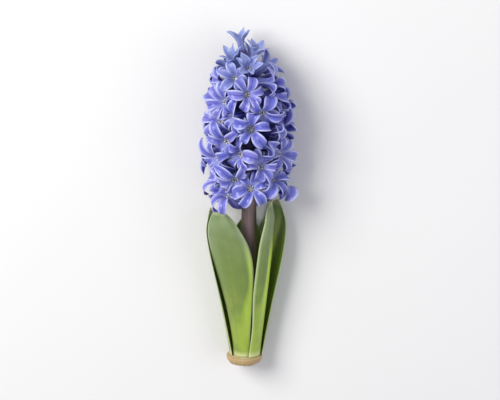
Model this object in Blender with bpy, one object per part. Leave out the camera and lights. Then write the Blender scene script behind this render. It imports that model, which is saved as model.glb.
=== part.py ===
"""A single hyacinth flower, cut at the base with its leaves and laid on a flat surface.

The flower is modelled as it grew: a straight stem along +Z, five strap leaves sheathing its foot on a
slice of the bulb's basal plate, and fifty florets in a spiral round its upper half. Each piece is
then laid down: the stem leans a little above the surface, the side that faced -Y looks up, and whatever
would go through the surface is pressed flat against it, as soft petals and leaves are.

Units are metres. +Y runs from the cut end to the tip, +Z is up, and the origin is the centre of the
bounding box at the surface.
"""

import math
import random

import bmesh
import bpy
import numpy as np
from mathutils import Matrix, Vector

MM = 0.001

# Driving dimensions, as grown
PLATE_THICKNESS = 5.0 * MM
PLATE_RADIUS = 11.6 * MM
JOINT_GAP = 0.35 * MM
STEM_FOOT_RADIUS = 6.0 * MM
STEM_NECK_RADIUS = 4.6 * MM
STEM_TIP_RADIUS = 1.8 * MM
STEM_TOP = 208.0 * MM
STEM_POINT = 1.2 * MM
STEM_SIDES = 12
PLATE_SIDES = 24

FLORET_COUNT = 50
SPIKE_FOOT = 117.0 * MM
SPIKE_SHOULDER = 169.0 * MM
SPIKE_CROWN = 219.0 * MM
SPIKE_FOOT_ROUNDING = 14.0 * MM
SPIKE_FOOT_TUCK = 1.5 * MM
THROAT_CIRCLE_RADIUS = 20.8 * MM
PEDICEL_LENGTH = 4.8 * MM
PEDICEL_RADIUS = 1.0 * MM
TUBE_LENGTH = 13.0 * MM
TUBE_RADIUS = 3.4 * MM
TUBE_SWELLING = 4.0 * MM
THROAT_RADIUS = 3.6 * MM
THROAT_DEPTH = 7.5 * MM
LOBES = 6
LOBE_LENGTH = 15.5 * MM
LOBE_HALF_WIDTH = 3.3 * MM
LOBE_THICKNESS = 0.9 * MM
LOBE_STATIONS = (0.36, 0.72)
LOBE_START = math.radians(14)
LOBE_CURL = math.radians(122)
SEAM_SHARE = 0.98
TOP_FLORET_SCALE = 0.74

LEAF_THICKNESS = 1.7 * MM
LEAF_MARGIN_SHARE = 0.45
LEAF_LAYER = 2.15 * MM
LEAF_FOOT_WRAP = math.radians(56)
LEAF_HOOK = 2.5 * MM

# How it lies
STEM_TILT = math.radians(3.7)
FOOT_HEIGHT = 12.2 * MM
STEM_BEND = 3.0 * MM
PRESS_AT_FOOT = 1.0 * MM
PRESS_AT_SPIKE = 4.2 * MM

GOLDEN_ANGLE = math.pi * (3 - math.sqrt(5))
FIRST_FLORET_ANGLE = math.radians(-50)
NEIGHBOUR_GAP = 0.4 * MM
CROWDING_STARTS = 0.68
CROWDING_REACH = 46 * MM
PAST_THROAT = 12 * MM

PETAL_BLUE = (0.155, 0.150, 0.60, 1)
LEAF_GREEN = (0.16, 0.27, 0.05, 1)
STEM_MAUVE = (0.17, 0.12, 0.11, 1)
PLATE_CREAM = (0.66, 0.56, 0.38, 1)


def clear_scene():
    for old in list(bpy.data.objects):
        bpy.data.objects.remove(old)


def finish(name, colour, roughness):
    """A plain Principled material."""
    material = bpy.data.materials.new(name)
    material.use_nodes = True
    shader = material.node_tree.nodes["Principled BSDF"]
    shader.inputs["Base Color"].default_value = colour
    shader.inputs["Roughness"].default_value = roughness
    shader.inputs["Metallic"].default_value = 0.0
    return material


def smooth_step(low, high, value):
    share = min(1.0, max(0.0, (value - low) / (high - low)))
    return share * share * (3 - 2 * share)


def around(radius, angle, height):
    """A point as grown. Angle 0 faces -Y, the side that will look up, and turns towards +X."""
    return Vector((radius * math.sin(angle), -radius * math.cos(angle), height))


def laid(point):
    """Where a point of the flower as grown comes to lie on the surface."""
    along, away = point.z, point.y
    x = point.x + STEM_BEND * math.sin(math.pi * along / SPIKE_CROWN)
    y = along * math.cos(STEM_TILT) + away * math.sin(STEM_TILT)
    z = FOOT_HEIGHT + along * math.sin(STEM_TILT) - away * math.cos(STEM_TILT)
    press = PRESS_AT_FOOT + (PRESS_AT_SPIKE - PRESS_AT_FOOT) * smooth_step(0, SPIKE_FOOT, y)
    return Vector((x, y, press * math.log1p(math.exp(min(z / press, 60.0))) if z < 60 * press else z))


def lay_down(thing):
    """Lays a finished piece down by moving its own vertices; the piece keeps its place."""
    to_world = thing.matrix_world.copy()
    to_local = to_world.inverted()
    for vertex in thing.data.vertices:
        vertex.co = to_local @ laid(to_world @ vertex.co)
    thing.data.update()


def skin(points, faces):
    """A bmesh of the given points and faces."""
    body = bmesh.new()
    corners = [body.verts.new(point) for point in points]
    for face in faces:
        body.faces.new([corners[i] for i in face])
    return body


def piece(name, body, material, place=None):
    """A named mesh object made from a bmesh in its own frame; place puts that frame as grown."""
    mesh = bpy.data.meshes.new(name)
    bmesh.ops.recalc_face_normals(body, faces=body.faces)
    body.to_mesh(mesh)
    body.free()
    mesh.materials.append(material)
    thing = bpy.data.objects.new(name, mesh)
    bpy.context.scene.collection.objects.link(thing)
    thing.matrix_world = place or Matrix.Identity(4)
    bpy.context.view_layer.update()
    return thing


def ring_faces(first, second, count):
    """Quads between two rings of count points, given the index of each ring's first point."""
    return [
        (first + i, first + (i + 1) % count, second + (i + 1) % count, second + i)
        for i in range(count)
    ]


# ---------------------------------------------------------------- stem and basal plate


def stem_radius(height):
    """The scape tapers gently to the neck, then faster through the flowering part."""
    if height < SPIKE_FOOT:
        return STEM_FOOT_RADIUS + (STEM_NECK_RADIUS - STEM_FOOT_RADIUS) * height / SPIKE_FOOT
    share = min(1.0, (height - SPIKE_FOOT) / (STEM_TOP - SPIKE_FOOT))
    return STEM_NECK_RADIUS + (STEM_TIP_RADIUS - STEM_NECK_RADIUS) * share


def turned(name, profile, sides, material):
    """A solid turned about Z from (radius, height) pairs, closed flat at both ends."""
    body = bmesh.new()
    corners = [body.verts.new(around(radius, 0, height)) for radius, height in profile]
    edges = [body.edges.new(pair) for pair in zip(corners, corners[1:])]
    bmesh.ops.spin(
        body, geom=corners + edges, axis=(0, 0, 1), cent=(0, 0, 0),
        angle=2 * math.pi, steps=sides, use_merge=True,
    )
    bmesh.ops.holes_fill(body, edges=[e for e in body.edges if e.is_boundary], sides=sides)
    return piece(name, body, material)


def make_stem(material):
    foot = PLATE_THICKNESS + JOINT_GAP
    steps = 16
    heights = [foot + (STEM_TOP - foot) * i / steps for i in range(steps + 1)]
    profile = [(stem_radius(h), h) for h in heights]
    profile.append((0.45 * STEM_TIP_RADIUS, STEM_TOP + STEM_POINT))
    return turned("stem", profile, STEM_SIDES, material)


def make_basal_plate(material):
    """The slice of the bulb's disc that holds stem and leaves together."""
    profile = [
        (0.62 * PLATE_RADIUS, 0.0),
        (0.85 * PLATE_RADIUS, 0.25 * PLATE_THICKNESS),
        (0.96 * PLATE_RADIUS, 0.60 * PLATE_THICKNESS),
        (PLATE_RADIUS, PLATE_THICKNESS),
    ]
    return turned("basal_plate", profile, PLATE_SIDES, material)


# ---------------------------------------------------------------- leaves


class Leaf:
    """One strap leaf: where it stands round the stem, how long and wide it is, and how it leans."""

    def __init__(self, angle, layer, tip_height, lean, half_width, twist=0, bow=0, sway=0):
        self.angle = math.radians(angle)
        self.foot_radius = STEM_FOOT_RADIUS + JOINT_GAP + LEAF_THICKNESS / 2 + layer * LEAF_LAYER
        self.tip_height = tip_height * MM
        self.lean = lean * MM
        self.half_width = half_width * MM
        self.twist = math.radians(twist)
        self.bow = bow * MM
        self.sway = sway * MM

    def height(self, v):
        foot = PLATE_THICKNESS + JOINT_GAP
        return foot + (self.tip_height - foot) * v

    def radius(self, v):
        """Distance of the midrib from the stem's axis: leaning out, with the hooded tip turned in."""
        hook = LEAF_HOOK * smooth_step(0.86, 1.0, v)
        return self.foot_radius + self.lean * v**1.25 + self.bow * math.sin(math.pi * v) - hook

    def half(self, v):
        """Half the width, measured round the section."""
        foot = self.foot_radius * LEAF_FOOT_WRAP
        blade = foot + (self.half_width - foot) * smooth_step(0.05, 0.70, v)
        tip = max(0.0, (v - 0.66) / 0.34)
        return blade * max(0.0, 1 - tip**2.2) ** 0.7 + 0.5 * MM * tip

    def section_radius(self, v):
        """How hard the blade is channelled: wrapped round the stem at the foot, flatter above."""
        flatter = 1 + 0.25 * smooth_step(0.3, 0.75, v)
        return self.radius(v) * flatter * (1 - 0.5 * smooth_step(0.8, 1.0, v))

    def thickness(self, v):
        return LEAF_THICKNESS * (1 - 0.45 * smooth_step(0.3, 1.0, v))

    def point(self, v, u, side):
        """On the blade at v along and u across (-1 to 1); side is 1 outside, -1 inside."""
        angle = self.angle + self.twist * v
        bend = self.section_radius(v)
        turn = u * self.half(v) / bend
        thin = self.thickness(v) * (1 - (1 - LEAF_MARGIN_SHARE) * u * u) / 2
        reach = bend + side * thin
        sideways = reach * math.sin(turn) + self.sway * v**1.6
        outwards = self.radius(v) - bend + reach * math.cos(turn)
        centre = around(outwards, angle, self.height(v))
        return centre + Vector((math.cos(angle), math.sin(angle), 0)) * sideways


LEAVES = [
    Leaf(angle=-24, layer=0, tip_height=107, lean=15, half_width=14.8, twist=-4, bow=1, sway=-12),
    Leaf(angle=72, layer=1, tip_height=111, lean=8, half_width=11, twist=4, bow=0.5, sway=0),
    Leaf(angle=-119, layer=1, tip_height=101, lean=21, half_width=14, twist=4, bow=1.5, sway=-1),
    Leaf(angle=134, layer=2, tip_height=106, lean=15, half_width=14.5, twist=-4, bow=1),
    Leaf(angle=186, layer=0, tip_height=96, lean=8, half_width=13.5),
]


def make_leaf(number, leaf, material):
    stations, columns = 15, 6
    across = [2 * j / columns - 1 for j in range(columns + 1)]
    points = []
    for i in range(stations + 1):
        v = i / stations
        points += [leaf.point(v, u, 1) for u in across]
        points += [leaf.point(v, u, -1) for u in reversed(across)]
    loop = 2 * (columns + 1)
    faces = []
    for i in range(stations):
        faces += ring_faces(i * loop, (i + 1) * loop, loop)
    for start in (0, stations * loop):
        faces += [
            (start + j, start + j + 1, start + loop - 2 - j, start + loop - 1 - j)
            for j in range(columns)
        ]
    return piece(f"leaf_{number}", skin(points, faces), material)


# ---------------------------------------------------------------- florets


def spike_profile(share):
    """(radius, height) of the throats, at an equal share of the spike's surface from foot to crown."""
    steps = 400
    dome = SPIKE_CROWN - SPIKE_SHOULDER
    outline = []
    for i in range(steps + 1):
        height = SPIKE_FOOT + (SPIKE_CROWN - SPIKE_FOOT) * i / steps
        above = max(0.0, (height - SPIKE_SHOULDER) / dome)
        below = 1 - smooth_step(SPIKE_FOOT, SPIKE_FOOT + SPIKE_FOOT_ROUNDING, height)
        radius = THROAT_CIRCLE_RADIUS * max(0.0, 1 - above**1.9) ** 0.72 - SPIKE_FOOT_TUCK * below
        outline.append((radius, height))
    areas = [0.0]
    for (r1, h1), (r2, h2) in zip(outline, outline[1:]):
        areas.append(areas[-1] + (r1 + r2) * math.hypot(r2 - r1, h2 - h1))
    wanted = share * areas[-1]
    for i in range(steps):
        if areas[i + 1] >= wanted:
            part = (wanted - areas[i]) / (areas[i + 1] - areas[i])
            (r1, h1), (r2, h2) = outline[i], outline[i + 1]
            return r1 + part * (r2 - r1), h1 + part * (h2 - h1)
    return outline[-1]


class Floret:
    """One floret: the foot of its pedicel on the stem, and the throat that its lobes open from."""

    def __init__(self, index, chance):
        self.name = f"floret_{index + 1:02d}"
        self.share = (index + 0.5) / FLORET_COUNT
        radius, height = spike_profile(self.share)
        self.young = smooth_step(0.60, 1.0, self.share)
        self.scale = 1 - (1 - TOP_FLORET_SCALE) * self.young
        angle = FIRST_FLORET_ANGLE + index * GOLDEN_ANGLE + chance.uniform(-0.06, 0.06)
        height += chance.uniform(-1.2, 1.2) * MM
        self.throat = around(radius, angle, height)
        length = (PEDICEL_LENGTH + TUBE_LENGTH) * self.scale
        self.foot = self.foot_on_stem(radius, angle, height, length)
        self.axis = (self.throat - self.foot).normalized()
        self.length = (self.throat - self.foot).length
        self.openness = 1 - 0.42 * self.young + chance.uniform(-0.06, 0.06)
        self.roll = chance.uniform(0, math.pi / 3)

    def foot_on_stem(self, radius, angle, height, length):
        """Steps down the stem until the pedicel and tube just reach the throat."""
        best = None
        for step in range(120):
            rise = 0.25 * MM * step
            steep = math.atan2(rise, radius)
            off = JOINT_GAP + PEDICEL_RADIUS * self.scale * math.sin(steep)
            low = height - rise
            start = around(stem_radius(low) + off, angle, low)
            reach = (around(radius, angle, height) - start).length
            miss = abs(reach - length)
            if low <= STEM_TOP - 2 * MM and (best is None or miss < best[0]):
                best = (miss, start)
        return best[1]

    def frame(self):
        """The floret's own frame: origin at the pedicel's foot, Z along its axis."""
        side = self.axis.cross(Vector((0, 0, 1))).normalized()
        up = self.axis.cross(side)
        turn = Matrix((side, up, self.axis)).transposed().to_4x4()
        return Matrix.Translation(self.foot) @ turn

    def lobe(self, number, t, u, side):
        """A point on a lobe: t from throat to tip, u across, side 1 on the inner face, -1 on the back."""
        scale = self.scale
        start = LOBE_START
        bend = LOBE_CURL * self.openness
        length = LOBE_LENGTH * scale
        lean = start + bend * t
        out = THROAT_RADIUS * scale + length * (math.cos(start) - math.cos(lean)) / bend
        rise = self.length + length * (math.sin(lean) - math.sin(start)) / bend
        half = SEAM_SHARE * math.pi * THROAT_RADIUS * scale / LOBES
        half += (LOBE_HALF_WIDTH * scale - half) * smooth_step(0.0, 0.5, t)
        half *= max(0.0, 1 - max(0.0, (t - 0.5) / 0.5) ** 2.6) ** 0.5
        thick = side * LOBE_THICKNESS * scale / 2
        out -= thick * math.cos(lean)
        rise += thick * math.sin(lean)
        angle = self.roll + 2 * math.pi * number / LOBES
        across = u * half
        return Vector((
            out * math.cos(angle) - across * math.sin(angle),
            out * math.sin(angle) + across * math.cos(angle),
            rise,
        ))

    def ring(self, radius, height):
        """Six points at the seams between the lobes."""
        angles = [self.roll + 2 * math.pi * (i - 0.5) / LOBES for i in range(LOBES)]
        return [Vector((radius * math.cos(a), radius * math.sin(a), height)) for a in angles]


def floret_mesh(floret):
    """Points and faces of pedicel, tube and six recurved lobes as one closed skin."""
    scale = floret.scale
    length = floret.length
    tube_foot = length - TUBE_LENGTH * scale
    wall = LOBE_THICKNESS * scale / 2
    rings = [
        (PEDICEL_RADIUS * scale, 0.0),
        (PEDICEL_RADIUS * scale, tube_foot),
        (TUBE_RADIUS * scale, tube_foot + TUBE_SWELLING * scale),
        (THROAT_RADIUS * scale + wall, length),
        (THROAT_RADIUS * scale - wall, length),
        (TUBE_RADIUS * scale * 0.55, length - THROAT_DEPTH * scale),
    ]
    points = []
    for radius, height in rings:
        points += floret.ring(radius, height)
    faces = [tuple(range(LOBES)), tuple(range(5 * LOBES, 6 * LOBES))]
    for ring in (0, 1, 2, 4):
        faces += ring_faces(ring * LOBES, (ring + 1) * LOBES, LOBES)
    back_seam, inner_seam = 3 * LOBES, 4 * LOBES
    for number in range(LOBES):
        following = (number + 1) % LOBES
        left = (back_seam + number, inner_seam + number)
        right = (back_seam + following, inner_seam + following)
        for t in LOBE_STATIONS:
            first = len(points)
            for u in (-1, 1):
                points += [floret.lobe(number, t, u, -1), floret.lobe(number, t, u, 1)]
            here_left, here_right = (first, first + 1), (first + 2, first + 3)
            faces += lobe_band(left, right, here_left, here_right)
            left, right = here_left, here_right
        tip = len(points)
        points += [floret.lobe(number, 1.0, 0, -1), floret.lobe(number, 1.0, 0, 1)]
        faces += [
            (left[0], right[0], tip),
            (left[1], tip + 1, right[1]),
            (left[0], tip, tip + 1, left[1]),
            (right[0], right[1], tip + 1, tip),
        ]
    return points, faces


def lobe_band(left, right, next_left, next_right):
    """The four faces of one stretch of a lobe; each argument is its (back, inner) point pair."""
    return [
        (left[0], right[0], next_right[0], next_left[0]),
        (left[1], next_left[1], next_right[1], right[1]),
        (left[0], next_left[0], next_left[1], left[1]),
        (right[0], right[1], next_right[1], next_right[0]),
    ]


def distance_to_axis(points, floret):
    """Distance of each point from a floret's axis, from its foot to past its throat."""
    foot = np.array(floret.foot)
    axis = np.array(floret.axis)
    offset = points - foot
    along = np.clip(offset @ axis, 0, floret.length + PAST_THROAT)
    return np.linalg.norm(offset - along[:, None] * axis, axis=1)


def crowd(points, floret, others):
    """Draws points in towards the floret's own axis, so that it keeps to its share of the spike."""
    foot = np.array(floret.foot)
    axis = np.array(floret.axis)
    offset = points - foot
    along = offset @ axis
    centre = foot + along[:, None] * axis
    spread = points - centre
    reach = np.linalg.norm(spread, axis=1)
    outwards = spread / np.maximum(reach, 1e-9)[:, None]
    near = np.zeros(len(points))
    far = np.full(len(points), 2 * LOBE_LENGTH)
    for _ in range(24):
        middle = (near + far) / 2
        tried = centre + middle[:, None] * outwards
        own = distance_to_axis(tried, floret) + NEIGHBOUR_GAP
        free = np.ones(len(points), bool)
        for other in others:
            free &= distance_to_axis(tried, other) > own
        near = np.where(free, middle, near)
        far = np.where(free, far, middle)
    eased = CROWDING_STARTS * near
    room = np.maximum(near - eased, 1e-9)
    drawn = eased + room * (1 - np.exp(-np.maximum(reach - eased, 0) / room))
    return centre + np.where(reach > eased, drawn, reach)[:, None] * outwards


def make_floret(floret, florets, material):
    points, faces = floret_mesh(floret)
    place = floret.frame()
    grown = np.array([place @ p for p in points])
    others = [
        f for f in florets
        if f is not floret and (f.throat - floret.throat).length < CROWDING_REACH
    ]
    grown = crowd(grown, floret, others)
    to_local = place.inverted()
    return piece(floret.name, skin([to_local @ Vector(p) for p in grown], faces), material, place)


# ---------------------------------------------------------------- the whole flower


def stand_at_origin(things):
    """Parents every piece to one empty, placed so that the box's foot centre is the origin."""
    corners = [t.matrix_world @ v.co for t in things for v in t.data.vertices]
    low = Vector([min(c[i] for c in corners) for i in range(3)])
    high = Vector([max(c[i] for c in corners) for i in range(3)])
    flower = bpy.data.objects.new("flower", None)
    bpy.context.scene.collection.objects.link(flower)
    for thing in things:
        thing.parent = flower
    flower.location = (-(low.x + high.x) / 2, -(low.y + high.y) / 2, -low.z)


def main():
    clear_scene()
    petal = finish("petal", PETAL_BLUE, 0.45)
    green = finish("leaf", LEAF_GREEN, 0.4)
    mauve = finish("stem", STEM_MAUVE, 0.5)
    cream = finish("basal_plate", PLATE_CREAM, 0.8)
    chance = random.Random(7)
    florets = [Floret(i, chance) for i in range(FLORET_COUNT)]
    things = [make_basal_plate(cream), make_stem(mauve)]
    things += [make_leaf(n + 1, leaf, green) for n, leaf in enumerate(LEAVES)]
    things += [make_floret(floret, florets, petal) for floret in florets]
    for thing in things:
        lay_down(thing)
        thing.data.shade_smooth()
        thing.data.set_sharp_from_angle(angle=math.radians(50))
    stand_at_origin(things)


main()
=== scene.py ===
# %% [markdown]
# # A cut hyacinth, laid on a table
#
# The flower is one spike of bell-shaped florets on a thick stem, with the strap leaves that grew
# round it. It was cut through the bulb's basal plate, the firm disc that stem and leaves share, and
# laid down, so the petals underneath are pressed flat by the table.
#
# The frame is the construction model: it fixes where every piece sits and how large it is. Here each
# piece is made again with the shape and finish of the living one. We work with the flower as it
# grew, upright along Z, and lay every finished point down in one last step, because a spiral of
# florets is easy to describe round an upright stem and hard to describe round a lying one.

# %% The frame
import math
import random

import bpy
import numpy as np
from mathutils import Matrix, Vector


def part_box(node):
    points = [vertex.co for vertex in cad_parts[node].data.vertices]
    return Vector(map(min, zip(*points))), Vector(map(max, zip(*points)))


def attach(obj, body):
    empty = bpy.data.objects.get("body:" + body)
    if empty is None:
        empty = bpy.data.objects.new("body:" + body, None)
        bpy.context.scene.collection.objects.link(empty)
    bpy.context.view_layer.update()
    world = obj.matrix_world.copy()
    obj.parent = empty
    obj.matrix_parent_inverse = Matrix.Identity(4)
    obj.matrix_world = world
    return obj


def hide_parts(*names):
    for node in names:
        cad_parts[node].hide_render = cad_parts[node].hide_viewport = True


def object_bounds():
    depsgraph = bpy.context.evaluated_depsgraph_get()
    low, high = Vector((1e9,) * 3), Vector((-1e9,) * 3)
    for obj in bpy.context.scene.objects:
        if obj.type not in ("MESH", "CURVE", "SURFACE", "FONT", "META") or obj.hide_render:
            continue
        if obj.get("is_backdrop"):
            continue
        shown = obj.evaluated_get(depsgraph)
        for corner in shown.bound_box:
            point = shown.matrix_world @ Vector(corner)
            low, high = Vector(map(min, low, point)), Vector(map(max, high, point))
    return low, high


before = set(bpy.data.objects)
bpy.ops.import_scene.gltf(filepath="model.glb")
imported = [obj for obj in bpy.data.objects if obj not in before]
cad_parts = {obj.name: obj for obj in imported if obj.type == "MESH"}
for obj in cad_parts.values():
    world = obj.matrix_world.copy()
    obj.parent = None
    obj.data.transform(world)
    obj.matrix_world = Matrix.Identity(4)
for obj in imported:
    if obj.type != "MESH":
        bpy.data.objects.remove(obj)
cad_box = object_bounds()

MM = 0.001
print("nodes in the frame:", len(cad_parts))

# %% [markdown]
# ## The plan of the flower
#
# A hyacinth sets its florets along the stem at the golden angle, so no floret stands right above
# another and each has about the same room. We could read fifty places from the frame one by one. The
# construction model works them out by that rule, and we do the same: a few lengths give all fifty
# places, and the boxes of the frame's pieces confirm them further down. Lengths are in metres.

# %% Lengths of the construction model
PLATE_THICKNESS = 5.0 * MM
PLATE_RADIUS = 11.6 * MM
JOINT_GAP = 0.35 * MM
STEM_FOOT_RADIUS = 6.0 * MM
STEM_NECK_RADIUS = 4.6 * MM
STEM_TIP_RADIUS = 1.8 * MM
STEM_TOP = 208.0 * MM

FLORETS = 50
SPIKE_FOOT = 117.0 * MM
SPIKE_SHOULDER = 169.0 * MM
SPIKE_CROWN = 219.0 * MM
SPIKE_FOOT_ROUNDING = 14.0 * MM
SPIKE_FOOT_TUCK = 1.5 * MM
THROAT_CIRCLE_RADIUS = 20.8 * MM
PEDICEL_LENGTH = 4.8 * MM
PEDICEL_RADIUS = 1.0 * MM
TUBE_LENGTH = 13.0 * MM
TOP_FLORET_SCALE = 0.74
GOLDEN_ANGLE = math.pi * (3 - math.sqrt(5))
FIRST_FLORET_ANGLE = math.radians(-50)
NEIGHBOUR_GAP = 0.4 * MM

LEAF_THICKNESS = 1.7 * MM
LEAF_LAYER = 2.15 * MM

STEM_TILT = math.radians(3.7)
FOOT_HEIGHT = 12.2 * MM
STEM_BEND = 3.0 * MM
PRESS_AT_FOOT = 1.0 * MM
PRESS_AT_SPIKE = 4.2 * MM
print("stem", STEM_TOP / MM, "mm, spike", (SPIKE_CROWN - SPIKE_FOOT) / MM, "mm")


# %% Small helpers for points
def smooth_step(low, high, value):
    share = np.clip((np.asarray(value, float) - low) / (high - low), 0.0, 1.0)
    return share * share * (3 - 2 * share)


def stack(*parts):
    """Coordinates side by side, as an array with x, y, z last."""
    return np.stack(np.broadcast_arrays(*parts), axis=-1)


def around(radius, angle, height):
    """A point as grown. Angle 0 faces -Y, the side that ends up on top, and turns towards +X."""
    return stack(radius * np.sin(angle), -radius * np.cos(angle), height)


def stem_radius(height):
    below = STEM_FOOT_RADIUS + (STEM_NECK_RADIUS - STEM_FOOT_RADIUS) * height / SPIKE_FOOT
    share = np.clip((height - SPIKE_FOOT) / (STEM_TOP - SPIKE_FOOT), 0, 1)
    above = STEM_NECK_RADIUS + (STEM_TIP_RADIUS - STEM_NECK_RADIUS) * share
    return np.where(height < SPIKE_FOOT, below, above)


print("stem radius under the spike", float(stem_radius(SPIKE_FOOT)) / MM, "mm")

# %% [markdown]
# ## Laying it down
#
# The stem leans up a little from its cut end, because the spike is thicker than the leaf bases and
# rests on its lowest petals. Soft tissue can't go through a table. A soft body simulation could press
# it flat, but it would be slow and hard to repeat, so the height of each point is eased towards the
# surface: high up nothing changes, and what would have been below the table ends up flat on it. The
# easing keeps the order of the points, so nothing is folded through anything else.


# %% Laid points, and where the frame has them
def laid_from(points, origin):
    """Where points of the upright flower come to lie, with the frame's origin given."""
    x, away, along = np.moveaxis(np.asarray(points, float), -1, 0)
    side = x + STEM_BEND * np.sin(np.pi * along / SPIKE_CROWN)
    y = along * math.cos(STEM_TILT) + away * math.sin(STEM_TILT)
    z = FOOT_HEIGHT + along * math.sin(STEM_TILT) - away * math.cos(STEM_TILT)
    press = PRESS_AT_FOOT + (PRESS_AT_SPIKE - PRESS_AT_FOOT) * smooth_step(0, SPIKE_FOOT, y)
    eased = press * np.logaddexp(0, z / press)
    return stack(side, y, eased) - origin


stem_foot = PLATE_THICKNESS + JOINT_GAP
stem_heights = np.append(np.linspace(stem_foot, STEM_TOP, 17), STEM_TOP + 1.2 * MM)
stem_radii = np.append(stem_radius(stem_heights[:-1]), 0.45 * STEM_TIP_RADIUS)
twelve_sides = np.arange(12) * math.pi / 6
rings = around(stem_radii[:, None], twelve_sides[None, :], stem_heights[:, None])
stem_low = laid_from(rings, 0).reshape(-1, 3).min(axis=0)
ORIGIN = stem_low - np.array(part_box("stem")[0])


def laid(points):
    return laid_from(points, ORIGIN)


print("origin", np.round(ORIGIN / MM, 2), "mm; stem top differs by",
      np.round((laid(rings).reshape(-1, 3).max(axis=0) - np.array(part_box("stem")[1])) / MM, 3), "mm")

# %% [markdown]
# ## Colours and one node helper
#
# Colours are written as the hex values that a painter's colour picker shows. Blender's shaders work in
# linear light, so one function converts them. A second function adds any shader node, sets it up and
# links it, which keeps each material readable from top to bottom. A short table tells it how the
# kinds that we use most are set up: colours are mixed as colours, and a range has smooth ends. Most
# finishes are built like a painter's glazes, each thin colour laid over the ones before it, so a third
# function lays such layers.


# %% Colour and node helpers
def tone(code):
    """A hex colour such as #7478C4 as linear red, green, blue, alpha."""
    parts = [int(code[i:i + 2], 16) / 255 for i in (1, 3, 5)]
    return [p / 12.92 if p <= 0.04045 else ((p + 0.055) / 1.055) ** 2.4 for p in parts] + [1.0]


SET_UP = {  # kind of node: its settings, the sockets that values fill in order, the output it gives
    "Mix": ({"data_type": "RGBA"}, (0, 6, 7), 2),
    "MapRange": ({"interpolation_type": "SMOOTHSTEP"}, (0, 1, 2, 3, 4), 0),
    "Attribute": ({}, (), "Fac"),
    "TexCoord": ({}, (), "Object"),  # places in metres, so 1 over a real size is a pattern's scale
}


def add(tree, kind, *values, **named):
    """A new node's output. Named sockets start with a capital letter, named settings don't."""
    settings, order, output = SET_UP.get(kind, ({}, (0, 1, 2), 0))
    made = tree.nodes.new("ShaderNode" + kind)
    inputs = dict(zip(order, values))
    for name, value in {**settings, **named}.items():
        if name[0].isupper():
            inputs[name] = value
        else:
            setattr(made, name, value)
    for key, value in inputs.items():
        if isinstance(value, bpy.types.NodeSocket):
            tree.links.new(value, made.inputs[key])
        else:
            made.inputs[key].default_value = tone(value) if isinstance(value, str) else value
    return made.outputs[output]


def new_material(name, roughness, **sockets):
    """A material with its own Principled shader; sockets are its plain values."""
    material = bpy.data.materials.new(name)
    material.use_nodes = True
    shader = material.node_tree.nodes["Principled BSDF"]
    shader.inputs["Roughness"].default_value = roughness
    for key, value in sockets.items():
        shader.inputs[key.replace("_", " ")].default_value = value
    return material, material.node_tree, shader


def layered(tree, colour, *layers):
    """Colours laid over a first one. A layer is (colour, value, low, high, at_low, at_high), where
    at_low and at_high are how much of it there is where the value is at low and at high."""
    for code, value, low, high, at_low, at_high in layers:
        share = add(tree, "MapRange", value, low, high, at_low, at_high)
        colour = add(tree, "Mix", share, colour, code)
    return colour


def dress(tree, shader, colour, relief=None, strength=0.0, depth=0.0):
    """Gives the shader its colour and, where there is one, a relief as deep as depth."""
    tree.links.new(colour, shader.inputs["Base Color"])
    if relief is not None:
        bump = add(tree, "Bump", Height=relief, Strength=strength, Distance=depth)
        tree.links.new(bump, shader.inputs["Normal"])


print("white is", tone("#FFFFFF"))

# %% [markdown]
# ## Sheets with a thickness
#
# Petals and leaves are thin sheets. A Solidify modifier could thicken them, but with the same
# thickness everywhere. Real ones are fleshy along the midrib and thin at the margin. So each sheet is
# described by its middle surface, a grid of points, and one function gives it two faces and a rim. That
# keeps every mesh closed, and light can pass through the thin margins as it does in a real petal.


# %% From a middle surface to a closed skin
def sheet_normals(points, faces):
    """The unit normal at each point of a sheet of quads, each face weighted by its area."""
    corners = points[faces]
    face_normals = np.cross(corners[:, 2] - corners[:, 0], corners[:, 3] - corners[:, 1])
    normals = np.zeros_like(points)
    for corner in range(4):
        for axis in range(3):
            normals[:, axis] += np.bincount(faces[:, corner], face_normals[:, axis], len(points))
    return normals / np.maximum(np.linalg.norm(normals, axis=1), 1e-12)[:, None]


def closed_skin(points, faces, thickness):
    """Both faces and the rim of a sheet. The first half of the points is the side it faces."""
    count = len(points)
    offset = sheet_normals(points, faces) * thickness[:, None] / 2
    edges = np.concatenate([faces[:, [i, (i + 1) % 4]] for i in range(4)])
    forward = edges[:, 0] * count + edges[:, 1]
    backward = edges[:, 1] * count + edges[:, 0]
    rim = edges[~np.isin(forward, backward)]
    rim_faces = np.stack([rim[:, 1], rim[:, 0], rim[:, 0] + count, rim[:, 1] + count], axis=1)
    skin = np.concatenate([faces, faces[:, ::-1] + count, rim_faces])
    return np.concatenate([points + offset, points - offset]), skin


def make_mesh(name, points, faces, materials, values=None, material_of=None):
    """A smooth-shaded object; values are numbers per point that its materials read by name."""
    mesh = bpy.data.meshes.new(name)
    mesh.from_pydata(points.tolist(), [], [tuple(face) for face in faces])
    for key, numbers in (values or {}).items():
        layer = mesh.attributes.new(key, "FLOAT", "POINT")
        layer.data.foreach_set("value", np.asarray(numbers, np.float32))
    for material in materials:
        mesh.materials.append(material)
    if material_of is not None:
        mesh.polygons.foreach_set("material_index", np.asarray(material_of, np.int32))
    mesh.shade_smooth()
    mesh.update()
    made = bpy.data.objects.new(name, mesh)
    bpy.context.scene.collection.objects.link(made)
    return made


flat_square = np.array([(0, 0, 0), (1, 0, 0), (1, 1, 0), (0, 1, 0)], float)
print("a thick square has", len(closed_skin(flat_square, np.array([[0, 1, 2, 3]]), np.ones(4))[1]), "faces")


# %% Rings of points
def ring_quads(rings, sides):
    """The quads between rings of points, ring after ring."""
    quads = []
    for ring in range(rings - 1):
        for c in range(sides):
            here, after = ring * sides + c, ring * sides + (c + 1) % sides
            quads.append((here, after, after + sides, here + sides))
    return quads


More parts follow.
